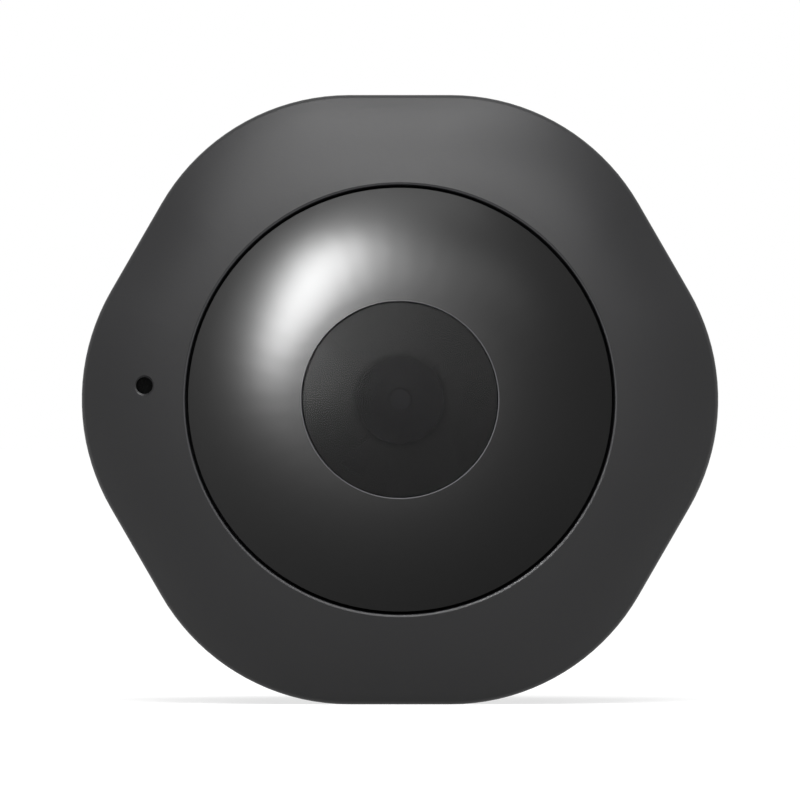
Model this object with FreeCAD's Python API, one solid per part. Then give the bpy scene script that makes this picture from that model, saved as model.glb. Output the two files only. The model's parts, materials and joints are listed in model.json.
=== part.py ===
import FreeCAD, Part
import math
import os

# A pocket security camera with a rounded six-sided housing.
# All lengths are in millimetres. The camera looks along -Y, +X is to the right as
# the lens side is seen, and +Z is up. It stands on its lower flat.
# The pieces are drawn about the optical axis and are lifted onto the ground at the end.

# Housing outline
across_flats = 43.0
corner_radius = 15.3
body_depth = 28.0
wall = 1.5
rear_rounding = 4.5
rear_inner_bevel = 2.0
bezel_edge_rounding = 0.7

# Window in front of the lens
window_radius = 6.85
window_gap = 0.05
window_thickness = 1.0
window_crown_radius = 60.0
window_recess = 0.02
window_edge_break = 0.04
mask_thickness = 0.1
clear_radius = 3.07

# Dark dome round the window
dome_radius = 14.9
dome_wall = 1.3
dome_shoulder_radius = 15.45
dome_shoulder_inset = 1.72
dome_skirt = 1.2
dome_skirt_width = 1.4
window_hole_break = 0.05
window_ledge_width = 1.35
window_ledge_thickness = 0.9
window_collar_width = 0.75
dome_adhesive_thickness = 0.1
dome_adhesive_margin = 0.15

# Bezel face, from the groove round the dome out to the edge
groove_gap = 0.2
groove_lip_width = 0.2
groove_lip_tilt = 27.0
bezel_inner_tilt = 14.0
bezel_outer_tilt = 42.0
bezel_sections = 5
ledge_width = 1.7
ledge_thickness = 1.1
ledge_outer_width = 2.7
front_corner_depth = 1.8

# Parting line between the shells, measured from the front
parting_from_front = 17.0
tongue_length = 1.1
tongue_gap = 0.05
seam_width = 0.3
seam_depth = 0.25

# Main board and the four screw stations
board_from_front = 13.2
board_thickness = 1.0
board_inset = 1.3
station_margin = 0.1
station_angle = 60.0
boss_radius = 2.0
pilot_radius = 0.8
pilot_depth = 5.2
post_radius = 2.4
well_radius = 1.7
post_floor = 3.8
screw_hole_radius = 1.0
screw_shank_radius = 0.78
screw_length = 8.0
screw_head_radius = 1.5
screw_head_height = 1.0
cross_width = 0.5
cross_depth = 0.5
cross_reach = 0.6
rib_thickness = 1.0
seat_gap = 0.02

# Lens
barrel_head_radius = 3.6
barrel_head_length = 1.6
barrel_thread_radius = 3.43
barrel_bore_radius = 2.0
barrel_to_mask = 0.3
thread_gap = 0.02
lens_opening_radius = 0.72
lens_opening_break = 0.12
lens_front_wall = 0.25
front_element_radius = 1.6
front_element_rim = 0.9
front_element_crown_gap = 0.04
front_element_curve = 1.3
rear_element_rim = 1.3
rear_element_rim_width = 0.28
rear_element_curve = 5.0
rear_element_setback = 0.6
holder_base = 9.0
holder_base_height = 3.2
holder_tower_radius = 4.5
holder_tower_height = 7.2
holder_floor = 0.5
holder_corner_rounding = 0.6
holder_aperture_radius = 2.2
sensor_room = 6.6
sensor_size = 6.0
sensor_height = 0.9
filter_radius = 3.2
filter_thickness = 0.3
baffle_wall = 1.0
baffle_gap = 0.1

# Infrared lamp board behind the dome
lamp_board_margin = 0.3
lamp_board_thickness = 0.8
lamp_board_hole = 5.2
lamp_board_clearance = 0.3
lamp_ear_width = 5.0
lamp_ear_margin = 1.2
lamp_screw_margin = 1.2
lamp_screw_radius = 0.55
lamp_screw_head_radius = 1.1
lamp_screw_head_height = 0.7
lamp_screw_length = 2.0
lamp_count = 6
lamp_circle_radius = 9.8
lamp_length = 3.0
lamp_width = 2.4
lamp_height = 1.0
lamp_lens_radius = 0.9
lamp_lens_height = 0.5
light_sensor_size = 1.8
light_sensor_height = 0.8
link_pin_count = 4
link_pin_pitch = 1.27
link_pin_radius = 0.25
link_block_width = 2.0
link_block_height = 2.4
link_edge_margin = 4.6

# Microphone, left of the dome
mic_offset_x = -18.0
mic_offset_z = 1.0
mic_hole_radius = 0.6
mic_hole_break = 0.18
mic_boot_radius = 1.9
mic_boot_wall = 0.4
mic_boot_floor = 0.5
mic_capsule_height = 1.4
mic_socket_wall = 0.6
mic_wall = 1.9
mic_lead_radius = 0.25
mic_lead_spacing = 1.2

# Charging socket on the right-hand corner
usb_width = 7.5
usb_height = 2.65
usb_length = 5.6
usb_sheet = 0.3
usb_corner = 0.9
usb_setback = 0.1
usb_opening_gap = 0.2
usb_opening_rounding = 0.6
usb_tongue_width = 3.7
usb_tongue_thickness = 0.6
usb_tongue_setback = 1.0
usb_back_block = 1.6
usb_contact_count = 5
usb_contact_pitch = 0.65
usb_contact_width = 0.35
usb_contact_thickness = 0.1
port_spacing = 6.0

# Memory card and its socket on the left-hand corner
card_length = 15.0
card_width = 11.0
card_thickness = 0.7
card_lip = 0.3
card_lip_length = 1.6
card_notch = 1.3
card_notch_length = 6.4
card_gap = 0.15
card_setback = 1.25
card_travel_room = 0.3
card_base_thickness = 0.35
card_cover_sheet = 0.2
card_socket_side = 0.9
card_socket_setback = 0.55
card_slot_gap = 0.15
thumb_dish_radius = 3.0
thumb_dish_depth = 0.7

# Power button on the top flat, and its switch
button_length = 5.6
button_width = 2.4
button_gap = 0.12
button_recess = 0.1
button_travel = 0.25
button_flange = 0.6
button_flange_thickness = 0.6
button_edge_break = 0.25
button_rib_gap = 0.05
switch_width = 4.6
switch_height = 1.8
switch_depth = 2.8
switch_stem_width = 1.8
switch_stem_thickness = 0.9
switch_stem_out = 0.8
switch_stem_in = 1.0
switch_stem_gap = 0.08

# Reset switch behind a pinhole, and the status light beside it
reset_hole_radius = 0.6
reset_width = 3.0
reset_depth = 2.6
reset_height = 1.7
reset_stem_width = 1.0
reset_stem_out = 0.8
reset_stem_in = 0.9
reset_travel = 0.2
reset_edge_gap = 0.6
light_pipe_radius = 0.75
light_pipe_gap = 0.05
light_pipe_flange = 0.35
light_pipe_flange_length = 0.8
status_led_length = 1.6
status_led_width = 1.2
status_led_height = 0.8
status_led_gap = 0.2

# Chips on the main board
processor_size = 8.0
processor_height = 0.9
processor_offset_z = -10.2
wifi_width = 9.0
wifi_length = 7.6
wifi_height = 1.4
wifi_offset_z = 9.7
antenna_length = 5.0
antenna_width = 2.0
antenna_height = 1.2
antenna_offset_x = -12.6
antenna_offset_z = 8.4
memory_length = 6.0
memory_width = 5.0
memory_height = 1.6
memory_offset_x = -10.5
memory_offset_z = -5.5
inductor_size = 4.0
inductor_height = 2.0
inductor_offset_x = 10.2
inductor_offset_z = -7.5
passive_length = 1.6
passive_width = 0.8
passive_height = 0.6
passive_pitch = 2.0
passive_count = 5
passive_margin = 0.35

# Battery between the boards and the magnet cup
battery_width = 24.0
battery_clearance = 0.75
battery_rounding = 1.2
guard_board_width = 1.6
spacer_thickness = 1.1
spacer_margin = 2.0
tape_thickness = 0.3
tape_size = 14.0
part_room = 0.2
lead_radius = 0.45
lead_spacing = 2.0
lead_overhang = 2.9
lead_bend_share = 0.45
connector_width = 5.0
connector_length = 3.2
connector_height = 1.7

# Magnet in the back
magnet_radius = 10.0
magnet_thickness = 2.4
magnet_gap = 0.1
magnet_floor = 1.2
magnet_cup_wall = 1.2
cover_thickness = 0.8
cover_margin = 1.5
cover_gap = 0.1
cover_edge_break = 0.2
cover_glue = 0.1

# Two depths closer than this count as the same
same_depth = 0.001

cos30 = math.cos(math.radians(30))
axis_height = across_flats / 2
front_y = -body_depth / 2
back_y = body_depth / 2
corner_centre = (across_flats / 2 - corner_radius) / cos30
parting_y = front_y + parting_from_front
board_front_y = front_y + board_from_front
board_rear_y = board_front_y + board_thickness

# Depths of the window, the dome and the bezel
window_edge_y = front_y + window_crown_radius - math.sqrt(window_crown_radius**2 - window_radius**2)
window_back_y = window_edge_y + window_thickness
mask_back_y = window_back_y + mask_thickness
dome_top_y = window_edge_y - window_recess
window_hole_radius = window_radius + window_gap
shoulder_start = window_hole_radius + window_hole_break
shoulder_centre_x = shoulder_start - dome_shoulder_inset
shoulder_centre_y = dome_top_y + math.sqrt(dome_shoulder_radius**2 - dome_shoulder_inset**2)
dome_rim_y = shoulder_centre_y - math.sqrt(dome_shoulder_radius**2 - (dome_radius - shoulder_centre_x)**2)
dome_base_y = dome_rim_y + dome_skirt
ledge_front_y = dome_base_y + dome_adhesive_thickness
ledge_rear_y = ledge_front_y + ledge_thickness
bore_radius = dome_radius + groove_gap
ledge_inner_radius = bore_radius - ledge_width
ledge_outer_radius = bore_radius + ledge_outer_width

# Screw stations just outside the dome's hole, and the lamp board's own screws
station_reach = bore_radius + station_margin
station_x = station_reach * math.cos(math.radians(station_angle))
station_z = station_reach * math.sin(math.radians(station_angle))
lamp_board_radius = dome_radius - lamp_board_margin
link_offset_x = link_edge_margin - lamp_board_radius
lamp_screw_reach = bore_radius + lamp_screw_margin
lamp_ear_reach = lamp_screw_reach + lamp_ear_margin

# The bezel face leans back from the inner to the outer tilt along one arc
inner_sine = math.sin(math.radians(bezel_inner_tilt))
outer_sine = math.sin(math.radians(bezel_outer_tilt))
lip_slope = math.tan(math.radians(groove_lip_tilt))
groove_lip_depth = groove_lip_width * (math.tan(math.radians(bezel_inner_tilt)) + lip_slope)
edge_inset = bezel_edge_rounding * (1 - outer_sine)
edge_drop = bezel_edge_rounding * (1 - math.sqrt(1 - outer_sine**2))
bezel_curve = (across_flats / 2 - edge_inset - bore_radius) / (outer_sine - inner_sine)

# Depths of the magnet stack
cover_front_y = back_y - cover_thickness
magnet_back_y = cover_front_y - cover_glue
magnet_front_y = magnet_back_y - magnet_thickness
cup_front_y = magnet_front_y - magnet_floor
cover_radius = station_reach - well_radius - cover_margin

# Depths of the lens
holder_top_y = board_front_y - holder_tower_height
holder_bore_radius = barrel_thread_radius + thread_gap
holder_floor_y = board_front_y - holder_base_height
barrel_front_y = mask_back_y + barrel_to_mask
front_element_y = barrel_front_y + lens_front_wall
barrel_rear_y = holder_floor_y - filter_thickness - baffle_gap


def vector(x, y, z):
    return FreeCAD.Vector(x, y, z)


def rod_y(radius, start, end, x=0.0, z=0.0):
    """A round rod along the depth, from one y to the other."""
    return Part.makeCylinder(radius, end - start, vector(x, start, z), vector(0, 1, 0))


def ring_y(outer, inner, start, end, x=0.0, z=0.0):
    return rod_y(outer, start, end, x, z).cut(rod_y(inner, start, end, x, z))


def rod_x(radius, start, end, y, z):
    return Part.makeCylinder(radius, end - start, vector(start, y, z), vector(1, 0, 0))


def block(x0, x1, y0, y1, z0, z1):
    return Part.makeBox(x1 - x0, y1 - y0, z1 - z0, vector(x0, y0, z0))


def centred_block(x, z, width, length, y0, y1):
    """A block that is centred on x and z and runs from one y to the other."""
    return block(x - width / 2, x + width / 2, y0, y1, z - length / 2, z + length / 2)


def edges_along(shape, direction):
    """The straight edges of a block that run along one direction."""
    found = []
    for edge in shape.Edges:
        start, end = edge.Vertexes[0].Point, edge.Vertexes[-1].Point
        if start.distanceToPoint(end) > 0 and abs((end - start).normalize().dot(direction)) > 0.99:
            found.append(edge)
    return found


def lies_at(edge, y):
    """Whether the whole edge lies at one depth."""
    box = edge.BoundBox
    return abs(box.YMin - y) < same_depth and abs(box.YMax - y) < same_depth


def softened(shape, radius, direction):
    """The block with the edges along one direction rounded."""
    return shape.makeFillet(radius, edges_along(shape, direction))


def line(start, end):
    """A profile line between two points, each given as radius and y."""
    return Part.LineSegment(vector(start[0], start[1], 0), vector(end[0], end[1], 0)).toShape()


def arc(start, middle, end):
    points = [vector(point[0], point[1], 0) for point in (start, middle, end)]
    return Part.Arc(*points).toShape()


def turned(edges):
    """The solid that a closed profile sweeps round the optical axis."""
    face = Part.Face(Part.Wire(edges))
    return face.revolve(vector(0, 0, 0), vector(0, 1, 0), 360)


def arc_point(centre, radius, at_radius):
    """The front point of a circle in the profile plane, at a distance from the axis."""
    return (at_radius, centre[1] - math.sqrt(radius**2 - (at_radius - centre[0])**2))


def polar(radius, degrees):
    angle = math.radians(degrees)
    return radius * math.cos(angle), radius * math.sin(angle)


def outline_spans(inset):
    """Start, middle and end of each corner arc and flat of the housing outline."""
    radius = corner_radius - inset
    spans = []
    for corner in range(6):
        centre_x, centre_z = polar(corner_centre, 60 * corner)
        points = []
        for turn in (-30, 0, 30):
            x, z = polar(radius, 60 * corner + turn)
            points.append((centre_x + x, centre_z + z))
        spans.append(points)
        flat_x, flat_z = polar(across_flats / 2 - inset, 60 * corner + 30)
        next_x, next_z = polar(corner_centre, 60 * corner + 60)
        x, z = polar(radius, 60 * corner + 30)
        spans.append([points[2], (flat_x, flat_z), (next_x + x, next_z + z)])
    return spans


def outline_wire(inset, y):
    """The rounded six-sided outline, drawn in by an inset, at one depth."""
    edges = []
    for number, span in enumerate(outline_spans(inset)):
        start, middle, end = [vector(x, y, z) for x, z in span]
        if number % 2 == 0:
            edges.append(Part.Arc(start, middle, end).toShape())
        else:
            edges.append(Part.LineSegment(start, end).toShape())
    return Part.Wire(edges)


def between_wire(radius, inset, share, y):
    """A section between a circle and the outline: share 0 is the circle, 1 the outline."""
    if share >= 1:
        return outline_wire(inset, y)
    edges = []
    for span in outline_spans(inset):
        points = []
        for x, z in span:
            reach = math.hypot(x, z)
            blended = radius + share * (reach - radius)
            points.append(vector(x * blended / reach, y, z * blended / reach))
        edges.append(Part.Arc(*points).toShape())
    return Part.Wire(edges)


def outline_prism(inset, start, end):
    return Part.Face(outline_wire(inset, start)).extrude(vector(0, end - start, 0))


def corner_x(inset, z):
    """How far the right-hand corner reaches along X at a height."""
    return corner_centre + math.sqrt((corner_radius - inset)**2 - z**2)


def bezel_sine(share):
    """Sine of the face's lean, from share 0 at the groove to share 1 at its edge."""
    return inner_sine + share * (outer_sine - inner_sine)


def bezel_depth(share):
    """Depth of the convex bezel face at a share of the way out."""
    sine = bezel_sine(share)
    return dome_rim_y + bezel_curve * (math.sqrt(1 - inner_sine**2) - math.sqrt(1 - sine**2))


bezel_outer_y = bezel_depth(1)


def screw_stations():
    return [(side * station_x, level * station_z) for side in (-1, 1) for level in (-1, 1)]


# Shells

def bezel_block():
    """The front of the housing as one block: straight sides and the convex bezel face."""
    sections = []
    for number in range(bezel_sections):
        share = number / (bezel_sections - 1)
        sections.append(between_wire(bore_radius, edge_inset, share, bezel_depth(share)))
    # The rounded edge starts a little in front, and the face carries on from it at the same slope
    edge_y = bezel_outer_y - edge_drop
    body = outline_prism(0, edge_y, parting_y)
    body = body.makeFillet(bezel_edge_rounding, [edge for edge in body.Edges if lies_at(edge, edge_y)])
    body = body.common(outline_prism(0, bezel_outer_y, parting_y))
    return body.fuse(Part.makeLoft(sections, True, False))


def front_cavity():
    """Room inside the front shell, narrowing to the ledge behind the bezel."""
    neck_y = ledge_rear_y + front_corner_depth
    shoulder = Part.makeLoft(
        [between_wire(ledge_outer_radius, wall, 0, ledge_rear_y), outline_wire(wall, neck_y)], True, True)
    room = shoulder.fuse(outline_prism(wall, neck_y, parting_y))
    step = wall / 2
    groove = outline_prism(step, parting_y - tongue_length - tongue_gap, parting_y)
    return room.fuse(groove)


def radial_rib(x, z, inner_reach, start, end):
    """A rib that runs outwards through a point, from an inner reach into the side wall."""
    rib = block(inner_reach, corner_x(wall / 2, 0), start, end, -rib_thickness / 2, rib_thickness / 2)
    rib.rotate(vector(0, 0, 0), vector(0, 1, 0), -math.degrees(math.atan2(z, x)))
    return rib


mic_reach = math.hypot(mic_offset_x, mic_offset_z)
mic_share = (mic_reach - bore_radius) / (corner_centre + corner_radius - bore_radius)
mic_face_y = bezel_depth(mic_share)
mic_face_sine = bezel_sine(mic_share)
mic_seat_y = mic_face_y + mic_wall
mic_boot_end = mic_seat_y + mic_boot_floor + mic_capsule_height
mic_socket_radius = mic_boot_radius + seat_gap + mic_socket_wall


def front_shell():
    """Bezel, ledge for the dome, screw bosses, microphone socket and port openings."""
    outer = bezel_block()
    shell = outer.cut(front_cavity())
    # Bosses, their ribs and the microphone's socket
    added = [rod_y(mic_socket_radius, mic_seat_y - wall / 2, mic_boot_end, mic_offset_x, mic_offset_z)]
    for x, z in screw_stations():
        added.append(rod_y(boss_radius, ledge_front_y, board_front_y, x, z))
        added.append(radial_rib(x, z, station_reach, ledge_rear_y, board_front_y - boss_radius / 2))
    for piece in added:
        shell = shell.fuse(piece.common(outer))
    # The dome's hole with its lit edge, and the ledge that carries the dome
    opening_y = front_y - bore_radius
    flare_length = dome_rim_y + groove_lip_depth - opening_y
    flare = Part.makeCone(bore_radius + flare_length / lip_slope, bore_radius, flare_length,
                          vector(0, opening_y, 0), vector(0, 1, 0))
    shell = shell.cut(flare)
    shell = shell.cut(rod_y(bore_radius, opening_y, ledge_front_y))
    shell = shell.cut(rod_y(ledge_inner_radius, opening_y, ledge_rear_y + wall))
    # Screw holes
    for x, z in screw_stations():
        shell = shell.cut(rod_y(pilot_radius, board_front_y - pilot_depth, board_front_y, x, z))
    for level in (-1, 1):
        shell = shell.cut(rod_y(lamp_screw_radius + seat_gap, lamp_pilot_y(), ledge_rear_y,
                                0, level * lamp_screw_reach))
    # The microphone's seat and sound hole, and the openings in the sides
    shell = shell.cut(rod_y(mic_boot_radius + seat_gap, mic_seat_y, mic_boot_end + wall,
                            mic_offset_x, mic_offset_z))
    shell = shell.cut(rod_y(mic_hole_radius, opening_y, mic_seat_y, mic_offset_x, mic_offset_z))
    inward = vector(-mic_face_sine * mic_offset_x / mic_reach, math.sqrt(1 - mic_face_sine**2),
                    -mic_face_sine * mic_offset_z / mic_reach)
    mouth_start = vector(mic_offset_x, mic_face_y, mic_offset_z) - inward * mic_hole_break
    mouth = Part.makeCone(mic_hole_radius + 2 * mic_hole_break, mic_hole_radius, 2 * mic_hole_break,
                          mouth_start, inward)
    shell = shell.cut(mouth)
    for tool in (usb_opening(), card_opening(), button_opening(), reset_opening(), light_pipe_opening()):
        shell = shell.cut(tool)
    return shell


def lamp_pilot_y():
    return ledge_rear_y + lamp_board_thickness - lamp_screw_length - seat_gap


def usb_opening():
    half_height = usb_height / 2 + usb_opening_gap
    half_width = usb_width / 2 + usb_opening_gap
    middle = board_front_y - usb_height / 2
    tool = block(usb_mouth_x(), corner_x(0, 0) + wall, middle - half_height, middle + half_height,
                 -half_width, half_width)
    return softened(tool, usb_opening_rounding, vector(1, 0, 0))


def usb_mouth_x():
    return corner_x(wall, usb_width / 2) - usb_setback


def card_plane_y():
    """The middle of the card's thickness."""
    return board_rear_y + card_base_thickness + card_gap + card_lip + card_thickness / 2


def card_opening():
    half_width = card_width / 2 + card_slot_gap + card_gap
    low = card_plane_y() - card_thickness / 2 - card_lip - card_slot_gap
    high = card_plane_y() + card_thickness / 2 + card_slot_gap
    slot = block(-corner_x(0, 0) - wall, card_mouth_x(), low, high, -half_width, half_width)
    centre_x = -corner_x(0, 0) - thumb_dish_radius + thumb_dish_depth
    dish = Part.makeSphere(thumb_dish_radius, vector(centre_x, (low + high) / 2, 0))
    return slot.fuse(dish)


def card_mouth_x():
    return -corner_x(wall, card_width / 2 + card_socket_side) + card_socket_setback


def button_plane_y():
    return board_front_y - switch_height / 2


def pill(length, width, z0, z1):
    """A round-ended block that stands along Z in the button's plane."""
    side = (length - width) / 2
    half = width / 2
    y = button_plane_y()
    edges = [
        Part.LineSegment(vector(-side, y - half, z0), vector(side, y - half, z0)).toShape(),
        Part.Arc(vector(side, y - half, z0), vector(side + half, y, z0), vector(side, y + half, z0)).toShape(),
        Part.LineSegment(vector(side, y + half, z0), vector(-side, y + half, z0)).toShape(),
        Part.Arc(vector(-side, y + half, z0), vector(-side - half, y, z0), vector(-side, y - half, z0)).toShape(),
    ]
    return Part.Face(Part.Wire(edges)).extrude(vector(0, 0, z1 - z0))


def button_opening():
    top = across_flats / 2
    return pill(button_length + 2 * button_gap, button_width + 2 * button_gap, top - 2 * wall, top + wall)


def reset_plane_y():
    return board_front_y - reset_height / 2


def reset_opening():
    end = corner_x(0, 0) + wall
    start = corner_x(wall, port_spacing) - wall
    return rod_x(reset_hole_radius, start, end, reset_plane_y(), -port_spacing)


def light_pipe_opening():
    end = corner_x(0, 0) + wall
    start = corner_x(wall, port_spacing) - wall
    return rod_x(light_pipe_radius + light_pipe_gap, start, end, light_plane_y(), port_spacing)


def light_plane_y():
    return board_front_y - light_pipe_radius - light_pipe_flange - light_pipe_gap


def rear_shell():
    """Rounded back with a tongue, screw posts and the cup that holds the magnet."""
    seam_end = parting_y + seam_width
    body = outline_prism(0, seam_end, back_y)
    body = body.makeFillet(rear_rounding, [edge for edge in body.Edges if lies_at(edge, back_y)])
    body = body.fuse(outline_prism(seam_depth, parting_y, seam_end))
    floor_y = back_y - wall
    room = outline_prism(wall, parting_y, floor_y)
    room = room.makeChamfer(rear_inner_bevel, [edge for edge in room.Edges if lies_at(edge, floor_y)])
    shell = body.cut(room)
    tongue = outline_prism(wall / 2 + tongue_gap, parting_y - tongue_length, seam_end)
    tongue = tongue.cut(outline_prism(wall, parting_y - tongue_length, seam_end))
    shell = shell.fuse(tongue)
    cup_radius = magnet_radius + magnet_gap + magnet_cup_wall
    shell = shell.fuse(rod_y(cup_radius, cup_front_y, back_y - wall / 2))
    # Posts, their ribs and the ribs that stiffen the back
    inside = body.common(outline_prism(wall / 2, parting_y, back_y - wall / 2))
    for x, z in screw_stations():
        shell = shell.fuse(rod_y(post_radius, board_rear_y, back_y - wall / 2, x, z))
        rib = radial_rib(x, z, station_reach, seam_end, back_y - wall / 2)
        shell = shell.fuse(rib.common(inside))
    for x, z in ((1, 0), (0, 1), (-1, 0), (0, -1)):
        rib = radial_rib(x, z, cup_radius - wall / 2, magnet_front_y, back_y - wall / 2)
        shell = shell.fuse(rib.common(inside))
    # What is cut away from behind and through the posts
    shell = shell.cut(rod_y(cover_radius + cover_gap, cover_front_y, back_y + wall))
    shell = shell.cut(rod_y(magnet_radius + magnet_gap, magnet_front_y, cover_front_y + wall))
    for x, z in screw_stations():
        shell = shell.cut(rod_y(well_radius, board_rear_y + post_floor, back_y + wall, x, z))
        shell = shell.cut(rod_y(screw_hole_radius, board_rear_y - wall, board_rear_y + 2 * post_floor, x, z))
    return shell


def cross_screw(shank_radius, length, head_radius, head_height, seat_y, x, z):
    """A pan-head screw with a cross recess, its head behind the seat."""
    shank = rod_y(shank_radius, seat_y - length, seat_y, x, z)
    head = rod_y(head_radius, seat_y, seat_y + head_height, x, z)
    top = seat_y + head_height
    head = head.makeChamfer(head_height / 3, [edge for edge in head.Edges if lies_at(edge, top)])
    screw = shank.fuse(head)
    slot = cross_width / 2
    arm = head_radius * cross_reach
    floor = top - head_height * cross_depth
    screw = screw.cut(block(x - slot, x + slot, floor, top, z - arm, z + arm))
    return screw.cut(block(x - arm, x + arm, floor, top, z - slot, z + slot))


def housing_screws():
    seat = board_rear_y + post_floor
    screws = []
    for x, z in screw_stations():
        screws.append(cross_screw(screw_shank_radius, screw_length, screw_head_radius,
                                  screw_head_height, seat, x, z))
    return Part.makeCompound(screws)


# Window and dome

def crown_ball(curve, top_y):
    """The ball that cuts a crown. Its poles lie to the sides, where no crown reaches."""
    return Part.makeSphere(curve, vector(0, top_y + curve, 0), vector(1, 0, 0))


def front_window():
    broken = window_radius - window_edge_break
    edge_y = arc_point((0, front_y + window_crown_radius), window_crown_radius, broken)[1]
    side_y = edge_y + window_edge_break
    edge = Part.makeCone(broken - (edge_y - front_y), window_radius, side_y - front_y,
                         vector(0, front_y, 0), vector(0, 1, 0))
    window = edge.fuse(rod_y(window_radius, side_y, window_back_y))
    return window.removeSplitter().common(crown_ball(window_crown_radius, front_y))


def window_mask():
    return ring_y(window_radius - window_gap, clear_radius, window_back_y, mask_back_y)


def lens_dome():
    """Convex shoulder from the window hole to the rim, with a ledge under the window."""
    centre = (shoulder_centre_x, shoulder_centre_y)
    outer = dome_shoulder_radius
    inner = dome_shoulder_radius - dome_wall
    skirt_inner = dome_radius - dome_skirt_width
    ledge_radius = window_hole_radius - window_ledge_width
    ledge_y = mask_back_y + window_ledge_thickness
    collar_radius = shoulder_start + window_collar_width
    top = (shoulder_start, dome_top_y)
    rim = (dome_radius, dome_rim_y)
    over = arc_point(centre, outer, (shoulder_start + dome_radius) / 2)
    under_start = arc_point(centre, inner, collar_radius)
    under = arc_point(centre, inner, (collar_radius + skirt_inner) / 2)
    under_end = arc_point(centre, inner, skirt_inner)
    corners = [under_start, (collar_radius, ledge_y), (ledge_radius, ledge_y), (ledge_radius, mask_back_y),
               (window_hole_radius, mask_back_y), (window_hole_radius, dome_top_y + window_hole_break), top]
    edges = [arc(top, over, rim)]
    edges.append(line(rim, (dome_radius, dome_base_y)))
    edges.append(line((dome_radius, dome_base_y), (skirt_inner, dome_base_y)))
    edges.append(line((skirt_inner, dome_base_y), under_end))
    edges.append(line(under_end, under))
    edges.append(line(under, under_start))
    for start, end in zip(corners, corners[1:]):
        edges.append(line(start, end))
    return turned(edges)


def dome_adhesive():
    margin = dome_adhesive_margin
    return ring_y(dome_radius - margin, ledge_inner_radius + margin, dome_base_y, ledge_front_y)


# Lens

def lens_barrel():
    """Threaded barrel with a wider head and a small opening with a countersink."""
    head_end = barrel_front_y + barrel_head_length
    barrel = rod_y(barrel_head_radius, barrel_front_y, head_end)
    barrel = barrel.fuse(rod_y(barrel_thread_radius, head_end, barrel_rear_y))
    barrel = barrel.cut(rod_y(lens_opening_radius, barrel_front_y, front_element_y))
    countersink = Part.makeCone(lens_opening_radius + lens_opening_break, lens_opening_radius, lens_opening_break,
                                vector(0, barrel_front_y, 0), vector(0, 1, 0))
    barrel = barrel.cut(countersink)
    seat_end = front_element_y + front_element_rim
    barrel = barrel.cut(rod_y(front_element_radius + thread_gap, front_element_y, seat_end))
    return barrel.cut(rod_y(barrel_bore_radius, seat_end, barrel_rear_y))


def convex_element(radius, crown_radius, curve, rim_front, back):
    """A lens with a curved crown in a flat rim, and a flat back."""
    top_y = rim_front + math.sqrt(curve**2 - crown_radius**2) - curve
    crown = rod_y(crown_radius, top_y, back).common(crown_ball(curve, top_y))
    return crown.fuse(rod_y(radius, rim_front, back)).removeSplitter()


def lens_front_element():
    crown_radius = lens_opening_radius - front_element_crown_gap
    return convex_element(front_element_radius, crown_radius, front_element_curve,
                          front_element_y, front_element_y + front_element_rim)


def lens_rear_element():
    radius = barrel_bore_radius - thread_gap
    back = barrel_rear_y - rear_element_setback
    return convex_element(radius, radius - rear_element_rim_width, rear_element_curve,
                          back - rear_element_rim, back)


def lens_holder():
    """Square foot on the board, round tower with the thread's bore, room for the sensor."""
    foot = centred_block(0, 0, holder_base, holder_base, holder_floor_y, board_front_y)
    foot = softened(foot, holder_corner_rounding, vector(0, 1, 0))
    holder = foot.fuse(rod_y(holder_tower_radius, holder_top_y, holder_floor_y))
    holder = holder.cut(rod_y(holder_bore_radius, holder_top_y, holder_floor_y))
    holder = holder.cut(rod_y(holder_aperture_radius, holder_floor_y, board_front_y))
    room_y = holder_floor_y + holder_floor
    return holder.cut(centred_block(0, 0, sensor_room, sensor_room, room_y, board_front_y))


def ir_cut_filter():
    return rod_y(filter_radius, holder_floor_y - filter_thickness, holder_floor_y)


def image_sensor():
    return centred_block(0, 0, sensor_size, sensor_size, board_front_y - sensor_height, board_front_y)


def light_baffle():
    """Soft sleeve that keeps the lamps' light out of the lens."""
    inner = barrel_head_radius + baffle_gap
    return ring_y(inner + baffle_wall, inner, mask_back_y, holder_top_y)


# Infrared lamp board

def lamp_board():
    """Round board with two ears, notched round the screw bosses."""
    start = ledge_rear_y
    end = ledge_rear_y + lamp_board_thickness
    board = rod_y(lamp_board_radius, start, end)
    ears = block(-lamp_ear_width / 2, lamp_ear_width / 2, start, end, -lamp_ear_reach, lamp_ear_reach)
    board = board.fuse(ears)
    board = board.cut(rod_y(lamp_board_hole, start, end))
    for x, z in screw_stations():
        board = board.cut(rod_y(boss_radius + lamp_board_clearance, start, end, x, z))
    board = board.cut(rod_y(mic_socket_radius + lamp_board_clearance, start, end, mic_offset_x, mic_offset_z))
    for level in (-1, 1):
        hole = lamp_screw_radius + thread_gap
        board = board.cut(rod_y(hole, start, end, 0, level * lamp_screw_reach))
    return board


def lamp_board_screws():
    seat = ledge_rear_y + lamp_board_thickness
    screws = []
    for level in (-1, 1):
        screws.append(cross_screw(lamp_screw_radius, lamp_screw_length, lamp_screw_head_radius,
                                  lamp_screw_head_height, seat, 0, level * lamp_screw_reach))
    return Part.makeCompound(screws)


def infrared_lamps():
    """Surface lamps with a small round lens each, on a circle round the camera lens."""
    lamps = []
    for number in range(lamp_count):
        body = centred_block(lamp_circle_radius, 0, lamp_length, lamp_width,
                             ledge_rear_y - lamp_height, ledge_rear_y)
        lens = rod_y(lamp_lens_radius, ledge_rear_y - lamp_height - lamp_lens_height,
                     ledge_rear_y - lamp_height, lamp_circle_radius)
        lamp = body.fuse(lens)
        lamp.rotate(vector(0, 0, 0), vector(0, 1, 0), 360 / lamp_count * (number + 0.5))
        lamps.append(lamp)
    return Part.makeCompound(lamps)


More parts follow.
